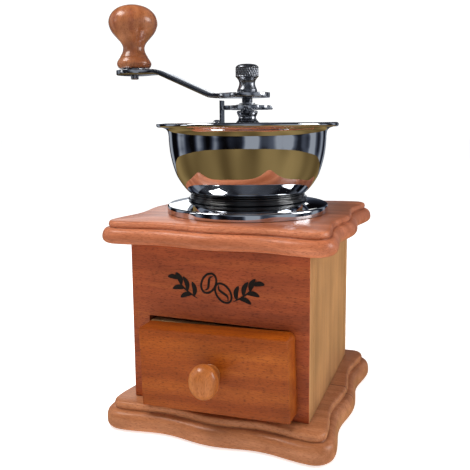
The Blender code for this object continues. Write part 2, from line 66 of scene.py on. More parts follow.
def srgb(code):
    parts = [int(code[start:start + 2], 16) / 255 for start in (1, 3, 5)]
    return (*[c / 12.92 if c <= 0.04045 else ((c + 0.055) / 1.055) ** 2.4 for c in parts], 1.0)


def node_span(name):
    """Lowest and highest corner of a piece of the frame, in millimetres."""
    low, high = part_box(name)
    return [value / MM for value in low], [value / MM for value in high]


print("mid grey is", round(srgb("#808080")[0], 3), "in linear light")

# %% [markdown]
# ## The camera
# The view is from the front, a little to the right, at about the height of the bowl's rim, and
# tips down to take in the base. The lens is close to normal, and it is shifted a little so that
# the upright edges stay upright.

# %% Camera
CAMERA_PLACE = (113.8, -321.0, 160.1)
CAMERA_TURN = math.radians(20.31)      # to the left of straight ahead
CAMERA_TIP = math.radians(-7.53)       # below the horizon
CAMERA_LEAN = math.radians(-0.43)      # to one side
CAMERA_LENS = 46.58
CAMERA_SHIFT = (-0.0095, -0.0697)

forward = Vector((-math.sin(CAMERA_TURN) * math.cos(CAMERA_TIP),
                  math.cos(CAMERA_TURN) * math.cos(CAMERA_TIP), math.sin(CAMERA_TIP)))
level = forward.cross(Vector((0, 0, 1))).normalized()
upward = level.cross(forward)
across = level * math.cos(CAMERA_LEAN) + upward * math.sin(CAMERA_LEAN)
above = upward * math.cos(CAMERA_LEAN) - level * math.sin(CAMERA_LEAN)
camera = bpy.data.objects.new("camera", bpy.data.cameras.new("camera"))
camera.data.lens = CAMERA_LENS
camera.data.shift_x, camera.data.shift_y = CAMERA_SHIFT
camera.data.clip_start = 0.01
camera.matrix_world = Matrix.Translation(metres(*CAMERA_PLACE)) @ Matrix(
    (across, above, -forward)).transposed().to_4x4()
bpy.context.scene.collection.objects.link(camera)
bpy.context.scene.camera = camera
bpy.context.scene.view_settings.view_transform = "Standard"
print("camera stands", round(camera.location.length, 3), "m from the base's centre")

# %% [markdown]
# ## Materials from nodes
# Every finish is a small node tree. One helper adds a node, sets it up and wires it, so a tree
# reads from top to bottom like a recipe. A colour ramp's stops are one of its settings.


# %% The node helper
def node(tree, kind, links=None, stops=None, **settings):
    """Add a node; links maps a socket to a value or to another node's output."""
    made = tree.nodes.new(kind)
    for name, value in settings.items():
        setattr(made, name, value)
    if stops:
        ramp = made.color_ramp
        while len(ramp.elements) < len(stops):
            ramp.elements.new(0.5)
        for element, (position, colour) in zip(ramp.elements, stops):
            element.position = position
            element.color = colour
    for socket, value in (links or {}).items():
        if isinstance(value, bpy.types.NodeSocket):
            tree.links.new(value, made.inputs[socket])
        else:
            made.inputs[socket].default_value = value
    return made


def start_material(name, **sockets):
    """A Principled material whose constant sockets are set here."""
    material = bpy.data.materials.new(name)
    material.use_nodes = True
    tree = material.node_tree
    shader = tree.nodes["Principled BSDF"]
    for socket, value in sockets.items():
        shader.inputs[socket.replace("_", " ")].default_value = value
    return material, tree, shader


GREY = [(value, value, value, 1.0) for value in (0.0, 1.0)]
print("helpers ready")

# %% [markdown]
# ## Stained beech
# Beech is a pale, close-grained wood. What gives it away is its rays, which show as short dark
# dashes along the grain, a millimetre or two long. The stain lies darker in some patches
# than in others, and a thin satin lacquer puts a soft shine on top. The grain and the rays are
# noise that is stretched along one axis, and the lacquer is the shader's coat.


# %% Beech, with the grain along a chosen axis
def stretched(axis, along, wide):
    """Noise scales for features that are so many millimetres long and wide."""
    return [1 / ((along if name == axis else wide) * MM) for name in "XYZ"]


def beech(name, axis, deep, mid, light, ray, gloss=0.3, ray_share=0.55, ray_depth=0.6,
          seam=None):
    """Stained beech: deep, mid and light stain colours and the colour of its rays."""
    material, tree, shader = start_material(name, IOR=1.35, Coat_Weight=gloss,
                                            Coat_Roughness=0.2, Coat_IOR=1.5)
    place = node(tree, "ShaderNodeTexCoord").outputs["Object"]

    def noise(along, wide, detail, shift=0.0):
        mapped = node(tree, "ShaderNodeMapping", {"Vector": place, "Location": (shift,) * 3,
                                                  "Scale": stretched(axis, along, wide)})
        return node(tree, "ShaderNodeTexNoise",
                    {"Vector": mapped.outputs[0], "Scale": 1.0, "Detail": detail,
                     "Roughness": 0.55}).outputs["Fac"]

    rings = node(tree, "ShaderNodeValToRGB", {"Fac": noise(110, 7, 2.0)},
                 [(0.32, srgb(deep)), (0.5, srgb(mid)), (0.7, srgb(light))])
    patches = node(tree, "ShaderNodeValToRGB", {"Fac": noise(38, 26, 2.0, 7.0)},
                   [(0.3, (0.84, 0.82, 0.80, 1)), (0.7, (1.12, 1.1, 1.08, 1))])
    toned = node(tree, "ShaderNodeMix", {0: 1.0, 6: rings.outputs[0], 7: patches.outputs[0]},
                 data_type="RGBA", blend_type="MULTIPLY")
    fibre = noise(9, 0.55, 3.0, 3.0)
    fibre_tone = node(tree, "ShaderNodeValToRGB", {"Fac": fibre},
                      [(0.35, (0.86, 0.84, 0.82, 1)), (0.65, (1.08, 1.08, 1.08, 1))])
    grained = node(tree, "ShaderNodeMix", {0: 1.0, 6: toned.outputs[2], 7: fibre_tone.outputs[0]},
                   data_type="RGBA", blend_type="MULTIPLY")
    strength = (ray_depth, ray_depth, ray_depth, 1.0)
    rays = node(tree, "ShaderNodeValToRGB", {"Fac": noise(2.0, 0.42, 1.0, 11.0)},
                [(ray_share, GREY[0]), (ray_share + 0.12, strength)])
    flecked = node(tree, "ShaderNodeMix", {0: rays.outputs[0], 6: grained.outputs[2],
                                           7: srgb(ray)}, data_type="RGBA")
    colour = flecked.outputs[2]
    if seam:
        middle, width = seam
        height = node(tree, "ShaderNodeSeparateXYZ", {0: place}).outputs["Y"]
        side = node(tree, "ShaderNodeMath", {0: height, 1: middle * MM},
                    operation="GREATER_THAN")
        share = node(tree, "ShaderNodeMath", {0: side.outputs[0], 1: 0.22},
                     operation="MULTIPLY")
        stave = node(tree, "ShaderNodeMix", {0: share.outputs[0], 6: colour, 7: srgb(deep)},
                     data_type="RGBA")
        glue = node(tree, "ShaderNodeMath", {0: height, 1: middle * MM, 2: width * MM},
                    operation="COMPARE")
        lined = node(tree, "ShaderNodeMix", {0: glue.outputs[0], 6: stave.outputs[2],
                                             7: srgb("#4a2a1c")}, data_type="RGBA")
        colour = lined.outputs[2]
    tree.links.new(colour, shader.inputs["Base Color"])
    rough = node(tree, "ShaderNodeMapRange", {"Value": fibre, "To Min": 0.3, "To Max": 0.5})
    tree.links.new(rough.outputs[0], shader.inputs["Roughness"])
    bump = node(tree, "ShaderNodeBump", {"Height": fibre, "Strength": 0.25,
                                         "Distance": 0.06 * MM})
    tree.links.new(bump.outputs[0], shader.inputs["Normal"])
    return material


front_beech = beech("stained_beech_front", "X", "#8d3f1c", "#a1491e", "#b05723", "#5f2208")
# The side colour is a paler stain with painted glare from the right-hand light mixed into it.
side_beech_with_painted_glare = beech("stained_beech_side_with_painted_glare", "Z", "#ad7e50", "#b98858", "#c59361", "#9e6e3d",
                   ray_share=0.6, ray_depth=0.3)
board_beech = beech("stained_beech_board", "X", "#a65e3c", "#b66c49", "#c77c58", "#894626")
base_beech = beech("stained_beech_base", "X", "#a66841", "#b87951", "#ca8a62", "#874c2b",
                   seam=(0.6, 0.3))
drawer_beech = beech("stained_beech_drawer", "X", "#8e3f07", "#9d4b0c", "#ab5812", "#5c2500",
                     ray_share=0.54, ray_depth=0.6)
turned_beech = beech("lacquered_beech_turning", "Z", "#894a29", "#9a5c36", "#b07048", "#693416",
                     gloss=1.0)
knob_beech = beech("lacquered_beech_knob", "Y", "#a25b26", "#b46a31", "#c77c41", "#854213",
                   gloss=1.0)
pale_beech = beech("bare_beech", "Y", "#b98f62", "#c8a074", "#d6b187", "#a87848", gloss=0.0)
print("beech finishes:", len([m for m in bpy.data.materials if "beech" in m.name]))

# %% [markdown]
# ## Metals
# The bowl and its collar are steel under chromium plate, as bright as a mirror with the odd
# smear from a cloth. The crank is nickel-plated and polished along its length, so its shine is
# drawn out into fine lines. The burrs are cast iron, dark and granular. A metal's colour is its
# reflection, so each base colour is that of the clean metal, and its roughness does the rest.


# %% Plated and cast metals
def metal(name, colour, rough_low, rough_high, feature, axis="X", stretch=1.0, tone=0.06,
          bump_depth=0.0):
    """A metal whose roughness and tone vary over features of the given size in mm."""
    material, tree, shader = start_material(name, Metallic=1.0)
    place = node(tree, "ShaderNodeTexCoord").outputs["Object"]
    mapped = node(tree, "ShaderNodeMapping",
                  {"Vector": place, "Scale": stretched(axis, feature * stretch, feature)})
    grain = node(tree, "ShaderNodeTexNoise", {"Vector": mapped.outputs[0], "Scale": 1.0,
                                              "Detail": 4.0}).outputs["Fac"]
    rough = node(tree, "ShaderNodeMapRange", {"Value": grain, "From Min": 0.3, "From Max": 0.7,
                                              "To Min": rough_low, "To Max": rough_high})
    tree.links.new(rough.outputs[0], shader.inputs["Roughness"])
    base = srgb(colour)
    dull = (*[channel * (1 - tone) for channel in base[:3]], 1.0)
    shade = node(tree, "ShaderNodeMix", {0: grain, 6: dull, 7: base}, data_type="RGBA")
    tree.links.new(shade.outputs[2], shader.inputs["Base Color"])
    if bump_depth:
        bump = node(tree, "ShaderNodeBump", {"Height": grain, "Strength": 0.5,
                                             "Distance": bump_depth * MM})
        tree.links.new(bump.outputs[0], shader.inputs["Normal"])
    return material


chrome = metal("chromium_plate", "#e4e6ea", 0.02, 0.05, 9.0)
nickel = metal("polished_nickel_plate", "#cfd1d6", 0.12, 0.26, 0.4, "X", 30, 0.14)
dark_nickel = metal("knurled_nickel_plate", "#94979e", 0.24, 0.38, 0.6, "Z", 4, 0.2)
zinc = metal("zinc_plate", "#b9bcc2", 0.22, 0.4, 2.0, tone=0.12)
spring_wire = metal("spring_wire", "#8f9298", 0.2, 0.32, 1.0, tone=0.15)
iron = metal("cast_iron", "#4a4a4e", 0.5, 0.75, 0.7, tone=0.35, bump_depth=0.08)
print("metals ready")

# %% [markdown]
# ## Black enamel and burnt wood
# The neck between collar and bowl is black enamel, glossy enough to mirror the plate below it.
# The ornament on the front is burnt in with a hot iron, so it is nearly black and quite dull.


# %% Black finishes
def dark_coat(name, low, high, rough, gloss, feature):
    material, tree, shader = start_material(name, Coat_Weight=gloss, Coat_Roughness=0.04,
                                            Roughness=rough)
    place = node(tree, "ShaderNodeTexCoord").outputs["Object"]
    grain = node(tree, "ShaderNodeTexNoise", {"Vector": place, "Scale": 1 / (feature * MM),
                                              "Detail": 3.0}).outputs["Fac"]
    shade = node(tree, "ShaderNodeMix", {0: grain, 6: srgb(low), 7: srgb(high)},
                 data_type="RGBA")
    tree.links.new(shade.outputs[2], shader.inputs["Base Color"])
    return material


enamel = dark_coat("black_enamel", "#020203", "#08080a", 0.3, 1.0, 4.0)
char = dark_coat("burnt_wood", "#0e0b08", "#221a12", 0.7, 0.1, 1.2)
print("black finishes ready")

# %% [markdown]
# ## Helpers for meshes
# Most of the grinder is turned on a lathe or cut from board, so three helpers make most of the
# meshes: one spins a profile, one skins a stack of outlines, and one draws a smooth curve
# through a few points so that a profile needs no long list.


# %% Curves and meshes
def through(points, spans=6):
    """A smooth curve that passes through the points."""
    ends = [points[0]] + list(points) + [points[-1]]
    curve = []
    for before, start, stop, after in zip(ends, ends[1:], ends[2:], ends[3:]):
        for step in range(spans):
            t = step / spans
            curve.append(tuple(
                0.5 * (2 * b + (c - a) * t + (2 * a - 5 * b + 4 * c - d) * t * t
                       + (3 * b - a - 3 * c + d) * t ** 3)
                for a, b, c, d in zip(before, start, stop, after)))
    return curve + [tuple(points[-1])]


def arc(centre, radius, start, stop, steps=6):
    """Points on an arc; angles in degrees."""
    angles = [math.radians(start + (stop - start) * step / steps) for step in range(steps + 1)]
    return [(centre[0] + radius * math.cos(a), centre[1] + radius * math.sin(a)) for a in angles]


def settle(name, bm, material, body, replaced=(), place=(0, 0, 0), turn=None):
    """Turn a bmesh into a smooth piece that rides on its body."""
    bmesh.ops.remove_doubles(bm, verts=bm.verts, dist=0.000002)
    bmesh.ops.recalc_face_normals(bm, faces=bm.faces)
    mesh = bpy.data.meshes.new(name)
    bm.to_mesh(mesh)
    bm.free()
    mesh.materials.append(material)
    mesh.shade_smooth()
    mesh.set_sharp_from_angle(angle=math.radians(38))
    piece = bpy.data.objects.new(name, mesh)
    piece.location = metres(*place)
    if turn:
        piece.rotation_euler = [math.radians(angle) for angle in turn]
    bpy.context.scene.collection.objects.link(piece)
    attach(piece, body)
    if replaced:
        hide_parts(*replaced)
    return piece


def skin(bm, rings, closed=False, caps=True):
    """Faces between rings of points; closed joins the last ring to the first."""
    made = [[bm.verts.new(metres(*point)) for point in ring] for ring in rings]
    pairs = list(zip(made, made[1:]))
    if closed:
        pairs.append((made[-1], made[0]))
    for lower, upper in pairs:
        for index in range(len(lower)):
            after = (index + 1) % len(lower)
            bm.faces.new((lower[index], lower[after], upper[after], upper[index]))
    if caps and not closed:
        bm.faces.new(reversed(made[0]))
        bm.faces.new(made[-1])
    return made


def lathe(name, profile, material, body, replaced=(), place=(0, 0, 0), turn=None,
          steps=96, ring=False):
    """Spin a profile of (radius, height) points; a ring's profile closes on itself."""
    bm = bmesh.new()
    verts = [bm.verts.new(metres(radius, 0, height)) for radius, height in profile]
    edges = [bm.edges.new(pair) for pair in zip(verts, verts[1:])]
    if ring:
        edges.append(bm.edges.new((verts[-1], verts[0])))
    bmesh.ops.spin(bm, geom=verts + edges, cent=(0, 0, 0), axis=(0, 0, 1), dvec=(0, 0, 0),
                   angle=2 * math.pi, steps=steps, use_merge=True)
    return settle(name, bm, material, body, replaced, place, turn)


print("mesh helpers ready")

# %% [markdown]
# ## The moulded boards
# The base and the top board are cut with the same serpentine edge and run past a router twice:
# once for a fat round moulding, once for a small step above it. The outline is a rounded
# square with a cosine added to its sides, and each level of the moulding is that outline moved
# in by the depth of the cut. A bevel could not follow the cove, so the levels are skinned.

# %% Outline and edge profiles
WAVE = 1.5
CORNER = 9.0


def wavy_outline(half, inset):
    straight = half - CORNER
    points = []
    for side in range(4):
        local = []
        for step in range(-32, 32):
            along = straight * step / 32
            swell = WAVE * math.cos(2 * math.pi * along / straight)
            local.append((along, -(half + swell - inset)))
        for step in range(12):
            angle = math.radians(-90 + 90 * step / 12)
            reach = CORNER + WAVE - inset
            local.append((straight + reach * math.cos(angle), -straight + reach * math.sin(angle)))
        turn = math.radians(90 * side)
        points += [(x * math.cos(turn) - y * math.sin(turn),
                    x * math.sin(turn) + y * math.cos(turn)) for x, y in local]
    return points


def edge_profile(nose, cove, step_top):
    """(inset, height) pairs from the underside to the top face, heights above the underside."""
    belly = arc((3.0, 3.0), 3.0, 270, 180, 7)
    shoulder = through([(0.0, nose - 4.6), (0.35, nose - 2.6), (1.4, nose - 0.9), (2.9, nose)], 5)
    quirk = [(cove + 0.25, nose + 0.05), (cove + 0.45, nose + 0.35)]
    step = through([(cove + 0.1, nose + 0.9), (cove - 0.15, step_top - 2.2),
                    (cove + 0.15, step_top - 0.9), (cove + 0.75, step_top - 0.25),
                    (cove + 1.6, step_top)], 5)
    return belly + shoulder + quirk + step


def moulded_board(name, half, profile, underside, material, bore=0.0):
    """Skin the moulding; a board with a bore is skinned down the bore as well."""
    bm = bmesh.new()
    rings = []
    for inset, height in profile:
        rings.append([(x, y, underside + height) for x, y in wavy_outline(half, inset)])
    if bore:
        circle = []
        for x, y, height in rings[0]:
            reach = math.hypot(x, y)
            circle.append((x / reach * bore, y / reach * bore))
        for height in (profile[-1][1], profile[0][1]):
            rings.append([(x, y, underside + height) for x, y in circle])
    skin(bm, rings, closed=bool(bore))
    return settle(name + "_moulding", bm, material, "cabinet", (name,))


FEED_RADIUS = 21.0
base_high = node_span("base_board")[1]
top_low, top_high = node_span("top_board")
moulded_board("base_board", base_high[0] - WAVE, edge_profile(9.8, 4.3, base_high[2]), 0.0,
              base_beech)
moulded_board("top_board", top_high[0] - WAVE,
              edge_profile(7.8, 3.6, top_high[2] - top_low[2]), top_low[2], board_beech,
              FEED_RADIUS)
print("boards are", round(base_high[0] * 2), "and", round(top_high[0] * 2), "mm wide")

# %% [markdown]
# ## The four panels
# The front and back panels run the full width and their corners are barely eased, so the edge
# between front and side is crisp. The sides take a paler stain with painted glare from the
# right-hand light added to its colour, and the panels' ends follow the side colour, painted glare
# included. The drawer's opening is cut with a Boolean, as a router would cut it.


# %% Front and back panels
def carve(piece, *tools):
    """Cut tools out of a piece for good, then throw the tools away."""
    for tool in tools:
        step = piece.modifiers.new(tool.name, "BOOLEAN")
        step.operation = "DIFFERENCE"
        step.solver = "EXACT"
        step.object = tool
    bpy.context.view_layer.update()
    carved = bpy.data.meshes.new_from_object(
        piece.evaluated_get(bpy.context.evaluated_depsgraph_get()))
    piece.modifiers.clear()
    piece.data = carved
    for tool in tools:
        bpy.data.objects.remove(tool, do_unlink=True)
    return piece


def block_tool(low, high):
    """A plain block that carve() cuts away."""
    bm = bmesh.new()
    bmesh.ops.create_cube(bm, size=1.0)
    for vert in bm.verts:
        vert.co = metres(*[bottom if side < 0 else top
                           for side, bottom, top in zip(vert.co, low, high)])
    mesh = bpy.data.meshes.new("block_tool")
    bm.to_mesh(mesh)
    bm.free()
    tool = bpy.data.objects.new("block_tool", mesh)
    bpy.context.scene.collection.objects.link(tool)
    return tool


PANEL_ROUND = 0.8


def wide_panel(node_name, facing):
    """A full-width panel that faces -Y or +Y, eased at its outer upright corners."""
    low, high = node_span(node_name)
    outer = low[1] if facing < 0 else high[1]
    inner = high[1] if facing < 0 else low[1]
    centre_y = outer - facing * PANEL_ROUND
    outline = [(high[0], inner)]
    for x, y in arc((0, 0), PANEL_ROUND, 0, 90, 10):
        outline.append((high[0] - PANEL_ROUND + x, centre_y + facing * y))
    for x, y in arc((0, 0), PANEL_ROUND, 90, 180, 10):
        outline.append((low[0] + PANEL_ROUND + x, centre_y + facing * y))
    outline.append((low[0], inner))
    bm = bmesh.new()
    skin(bm, [[(x, y, height) for x, y in outline] for height in (low[2], high[2])])
    board = settle(node_name + "_board", bm, front_beech, "cabinet",
                   (node_name,))
    # The upright ends take the side colour, painted glare included.
    board.data.materials.append(side_beech_with_painted_glare)
    for face in board.data.polygons:
        if abs(face.normal.x) > 0.8:
            face.material_index = 1
    return board


DRAWER_OPENING = (38.0, 60.0)
front_panel = wide_panel("front_panel", -1)
carve(front_panel, block_tool((-DRAWER_OPENING[0], -60, 5),
                              (DRAWER_OPENING[0], -30, DRAWER_OPENING[1])))
wide_panel("back_panel", 1)
print("front panel has", len(front_panel.data.polygons), "faces")

# %% [markdown]
# ## The burnt ornament
# A hot iron has burnt a small design into the front: coffee beans between two leafy sprigs.
# Each stroke is a ribbon whose width swells and tapers like a brush stroke, and it stands a
# tenth of a millimetre proud, so it stays crisp where it would flicker if it lay in the face.


# %% Ribbons for the ornament
def stroke(bm, line, width, lift, closed=False):
    """A ribbon along (x, z) points on the front panel; width(share) gives its width in mm."""
    rings = []
    count = len(line)
    for index, (x, z) in enumerate(line):
        before = line[index - 1] if closed or index else line[0]
        after = line[(index + 1) % count] if closed or index < count - 1 else line[-1]
        along = Vector((after[0] - before[0], after[1] - before[1])).normalized()
        half = width(index / (count - 1)) / 2
        side = Vector((-along.y, along.x)) * half
        front = front_face - 0.1 - lift
        back = front_face + 0.3
        rings.append([(x + side.x, front, z + side.y), (x - side.x, front, z - side.y),
                      (x - side.x, back, z - side.y), (x + side.x, back, z + side.y)])
    skin(bm, rings, closed=closed)


def taper(widest, ends=0.15):
    return lambda share: ends + (widest - ends) * math.sin(math.pi * share) ** 0.8


def bean(bm, x, z, turn, lift):
    """An oval bean with its curved crease."""
    cosine, sine = math.cos(math.radians(turn)), math.sin(math.radians(turn))

    def placed(points):
        return [(x + a * cosine - b * sine, z + a * sine + b * cosine) for a, b in points]

    oval = [(5.4 * math.cos(a * math.pi / 20), 3.7 * math.sin(a * math.pi / 20))
            for a in range(40)]
    stroke(bm, placed(oval), lambda share: 1.1, lift, closed=True)
    crease = through([(-4.6, 0.4), (-2.6, -0.8), (0, 0.0), (2.6, 0.8), (4.6, -0.4)], 5)
    stroke(bm, placed(crease), taper(1.3), lift + 0.01)


front_face = node_span("front_panel")[0][1]
ORNAMENT_MIDDLE = (-0.6, 77.2)
bm = bmesh.new()
middle_x, middle_z = ORNAMENT_MIDDLE
bean(bm, middle_x - 3.4, middle_z + 2.8, 62, 0.0)
bean(bm, middle_x + 4.4, middle_z - 1.6, 128, 0.03)
for side in (-1, 1):
    stem = through([(middle_x + side * out, middle_z + rise)
                    for out, rise in ((9.6, -5.6), (14, -3.0), (18.5, 0.6), (22.0, 6.4))], 8)
    stroke(bm, stem, taper(0.9), 0.06)
    for place, (root, lean, length) in enumerate(((4, 82, 7.4), (10, 72, 7.8), (16, 66, 7.0),
                                                  (6, -18, 6.6), (13, -6, 6.6), (20, 8, 5.6))):
        x, z = stem[root]
        angle = math.radians(lean)
        tip = (x + side * length * math.cos(angle), z + length * math.sin(angle))
        bend = (x + side * length * 0.5 * math.cos(angle + 0.25),
                z + length * 0.5 * math.sin(angle + 0.25))
        stroke(bm, through([(x, z), bend, tip], 7), taper(2.5), 0.07 + 0.01 * place)
ornament = settle("burnt_ornament", bm, char, "cabinet")
print("ornament spans", [round(value / MM, 1) for value in ornament.dimensions])

# %% [markdown]
# ## The drawer front
# The front is a thick plank with rounded corners. It narrows a little towards its face, and the
# four slopes meet in sharp mitres even though the corners are round at the back. It is fixed a
# little askew, as a front that is glued on by hand can be. Skinned outlines give both corners.

# %% Drawer front
FRONT_TILT = 1.9
FRONT_HALF = 40.2
FRONT_TALL = 21.4
FRONT_THICK = 10.9
FRONT_X = 1.5
front_back = -48.4
front_middle = 37.4


def rounded_frame(inset, radius, depth, steps=9):
    """A rounded rectangle in the plane of the drawer front, so deep in front of its back."""
    ring = []
    for start, x, z in ((-90, 1, -1), (0, 1, 1), (90, -1, 1), (180, -1, -1)):
        centre = (x * (FRONT_HALF - inset - radius), z * (FRONT_TALL - inset - radius))
        ring += [(a, -depth, b) for a, b in arc(centre, radius, start, start + 90, steps)]
    return ring


bm = bmesh.new()
skin(bm, [rounded_frame(0.5, 2.9, 0.0), rounded_frame(0.1, 3.2, 0.25),
          rounded_frame(0.0, 3.3, 0.6), rounded_frame(0.0, 3.3, 1.6),
          rounded_frame(0.08, 3.2, 1.9), rounded_frame(0.9, 0.6, FRONT_THICK - 0.5),
          rounded_frame(1.05, 0.4, FRONT_THICK - 0.15), rounded_frame(1.35, 0.25, FRONT_THICK)])
settle("drawer_front_plank", bm, drawer_beech, "drawer", ("drawer_front",),
       (FRONT_X, front_back, front_middle), (0, -FRONT_TILT, 0))

# %% [markdown]
# ## Turned wood
# The drawer's knob and the crank's grip are turned and dipped in gloss lacquer. Their profiles
# are drawn as smooth curves through a few measured points, and each has the bore for its pin.

# %% Knob and grip
KNOB_OVAL = 1.15
knob_face = node_span("drawer_knob")[1][1]
knob_line = through([(0, 15.0), (2.6, 14.75), (5.3, 13.5), (7.1, 11.2), (7.55, 8.6),
                     (6.9, 6.2), (5.7, 4.3), (4.75, 2.6), (4.5, 1.2), (4.6, 0.3), (4.8, 0.0)])
knob = lathe("drawer_knob_turning", knob_line + [(1.9, 0.0), (1.9, 12.0), (0, 12.4)],
             knob_beech, "drawer", ("drawer_knob",),
             (FRONT_X, knob_face, front_middle), (90, 0, 0))
knob.data.transform(Matrix.Scale(KNOB_OVAL, 4, (0, 1, 0)))

GRIP_X = -70.2
grip_line = through([(0, 227.8), (4.0, 227.45), (8.6, 225.9), (12.0, 223.2), (13.85, 219.8),
                     (14.05, 216.4), (12.5, 212.4), (9.7, 209.0), (7.3, 206.2), (6.25, 203.6),
                     (6.6, 201.0), (7.7, 198.9)])
grip_line += [(8.1, 198.2), (7.95, 198.0)]
grip_line += through([(8.15, 197.8), (9.2, 196.4), (9.9, 195.0), (10.0, 193.8), (9.4, 192.4),
                      (8.6, 191.6)])
lathe("grip_turning", grip_line + [(3.3, 191.6), (3.3, 214.6), (0, 214.8)], turned_beech,
      "grip", ("grip",), (GRIP_X, 0, 0))
print("grip line has", len(grip_line), "points")

# %% [markdown]
# ## Bowl, neck and collar
# The bowl is spun from sheet steel, its rim is rolled over a wire and the lip flares out below
# it. It stands on a stepped black neck and on a plate that is pressed to a shallow cone. A
# mirror finish shows every facet, so these profiles are curves with many points.

# %% Spun steel
plate_line = ([(22.0, 116.9), (33.6, 116.9)]
              + through([(34.4, 116.75), (36.9, 116.35), (40.4, 115.65), (43.5, 115.0)], 4)
              + arc((43.7, 113.8), 1.2, 80, 0, 6) + [(44.9, 110.9), (22.0, 110.9)])
lathe("collar_plate_pressing", plate_line, chrome, "cabinet", ("collar_plate",),
      steps=160, ring=True)
neck_line = ([(21.0, 120.5), (31.0, 120.5)] + arc((31.4, 119.9), 0.6, 80, -60, 6)
             + arc((32.6, 118.5), 0.55, 150, -30, 6)
             + arc((32.9, 117.7), 0.5, 60, -90, 5) + [(21.0, 117.2)])
lathe("neck_ring_enamel", neck_line, enamel, "cabinet", ("neck_ring",),
      steps=128, ring=True)
RIM = (49.0, 158.5)
wall = through([(45.4, 156.6), (44.2, 155.4), (43.7, 153.4), (43.5, 150.1), (43.2, 146.1),
                (42.6, 141.8), (41.4, 136.6), (39.6, 131.2), (37.1, 126.8), (34.6, 123.5),
                (32.8, 121.7), (31.6, 120.8)], 6)
bead = arc(RIM, 1.2, 205, -75, 14)
inside = [(radius - 0.9, height + 0.35) for radius, height in reversed(wall[:-4])]
bowl_line = bead + [(47.6, 157.35)] + wall + [(19.0, 120.8), (19.0, 121.8), (32.0, 121.85)]
lathe("bowl_spinning", bowl_line + inside, chrome, "cabinet", ("bowl",), steps=192,
      ring=True)
print("bowl line has", len(bowl_line + inside), "points")

# %% [markdown]
# ## The adjuster
# A toothed star screws a bush down through the hub to set how fine the mill grinds, and a
# spring leaf clicks past its nine hollows. Star, boss and bush are one turning, so its rings
# are skinned from one outline: the rings match point for point from the teeth to the bore.

# %% Star and hub
STAR_TIP = 14.1
NOTCHES = 9
NOTCH_DEPTH = 2.2


def star_ring(inset, height):
    points = []
    for index in range(NOTCHES * 14):
        angle = 2 * math.pi * index / (NOTCHES * 14)
        dip = max(0.0, math.cos(NOTCHES * angle)) ** 0.8 * NOTCH_DEPTH
        reach = STAR_TIP - dip - inset
        points.append((reach * math.cos(angle), reach * math.sin(angle), height))
    return points


def round_ring(radius, height):
    count = NOTCHES * 14
    return [(radius * math.cos(2 * math.pi * index / count),
             radius * math.sin(2 * math.pi * index / count), height) for index in range(count)]


bm = bmesh.new()
star_rings = [star_ring(0.35, 166.7), star_ring(0.08, 166.8), star_ring(0.0, 167.05),
              star_ring(0.0, 168.65), star_ring(0.08, 168.9), star_ring(0.35, 169.0)]
for radius, height in ((6.9, 169.0), (6.7, 169.2), (6.3, 169.5), (5.8, 169.6), (2.75, 169.6),
                       (2.75, 157.0), (3.7, 157.0), (3.7, 166.7)):
    star_rings.append(round_ring(radius, height))
skin(bm, star_rings, closed=True)
settle("adjusting_star_turning", bm, nickel, "adjuster", ("adjusting_star",))

hub_line = through([(5.0, 166.2), (5.65, 165.9), (5.85, 165.2), (5.4, 164.0), (4.85, 162.9),
                    (4.95, 161.9), (5.6, 160.9), (6.5, 159.9), (7.4, 158.8)], 5)
hub_line = [(4.0, 166.2)] + hub_line + [(5.0, 158.8), (5.0, 154.6), (4.0, 154.6)]
lathe("hub_bearing_turning", hub_line, nickel, "cabinet", ("hub_bearing",),
      ring=True)
print("star has", NOTCHES, "hollows")

# %% [markdown]
# ## The crank arm
# The arm is one flat bar with a round eye over the shaft, a waist, a straight climb and a round
# end under the grip. It is skinned from small sections along its length, each with its edges
# eased, because a bent plate with two widths has no single outline to extrude.

# %% Crank arm
ARM_LOW = 173.3
ARM_RISE = 14.5
ARM_THICK = 2.7
EYE = 12.6
END = 10.6
WAIST = 6.3


def blend_between(x, start, stop):
    """0 before start, 1 after stop and smooth between, for start and stop in falling x."""
    share = min(1.0, max(0.0, (start - x) / (start - stop)))
    return share * share * (3 - 2 * share)


def arm_half_width(x):
    eye = math.sqrt(max(0.0, EYE * EYE - x * x)) if x > -EYE else 0.0
    end = math.sqrt(max(0.0, END * END - (x - GRIP_X) ** 2)) if x < GRIP_X + END else 0.0
    waist = 0.0
    if GRIP_X < x < 0:
        flare_eye = 1 - blend_between(x, -5.0, -19.0)
        flare_end = blend_between(x, -52.0, GRIP_X + 3)
        waist = WAIST + (EYE - 2.2 - WAIST) * flare_eye ** 2 + (END - 1.6 - WAIST) * flare_end ** 2
    return max(eye, end, min(waist, EYE - 0.2))


def arm_height(x):
    """Underside of the arm: level, then a straight climb with eased bends, then level."""
    bend = 2.4
    start, stop = -20.4, -53.8
    slope = ARM_RISE / (start - stop)

    def ramp(distance):
        if distance <= -bend:
            return 0.0
        if distance >= bend:
            return distance
        return (distance + bend) ** 2 / (4 * bend)

    return ARM_LOW + slope * (ramp(start - x) - ramp(stop - x))


stations = [EYE * math.cos(math.radians(angle)) for angle in range(4, 92, 4)]
stations += [-step * 0.9 for step in range(1, 76)]
stations += [GRIP_X + END * math.cos(math.radians(angle)) for angle in range(84, 178, 4)]
stations = sorted(set(stations), reverse=True)
sections = []
for x in stations:
    half = arm_half_width(x)
    low = arm_height(x)
    high = low + ARM_THICK
    ease = min(0.45, half * 0.4)
    soft = ease * 0.3
    sections.append([(x, -half, low + ease), (x, -half + soft, low + soft), (x, -half + ease, low),
                     (x, half - ease, low), (x, half - soft, low + soft), (x, half, low + ease),
                     (x, half, high - ease), (x, half - soft, high - soft), (x, half - ease, high),
                     (x, -half + ease, high), (x, -half + soft, high - soft),
                     (x, -half, high - ease)])
bm = bmesh.new()
skin(bm, sections)
settle("crank_arm_bar", bm, nickel, "crank", ("crank_arm",))
print("arm has", len(sections), "sections")

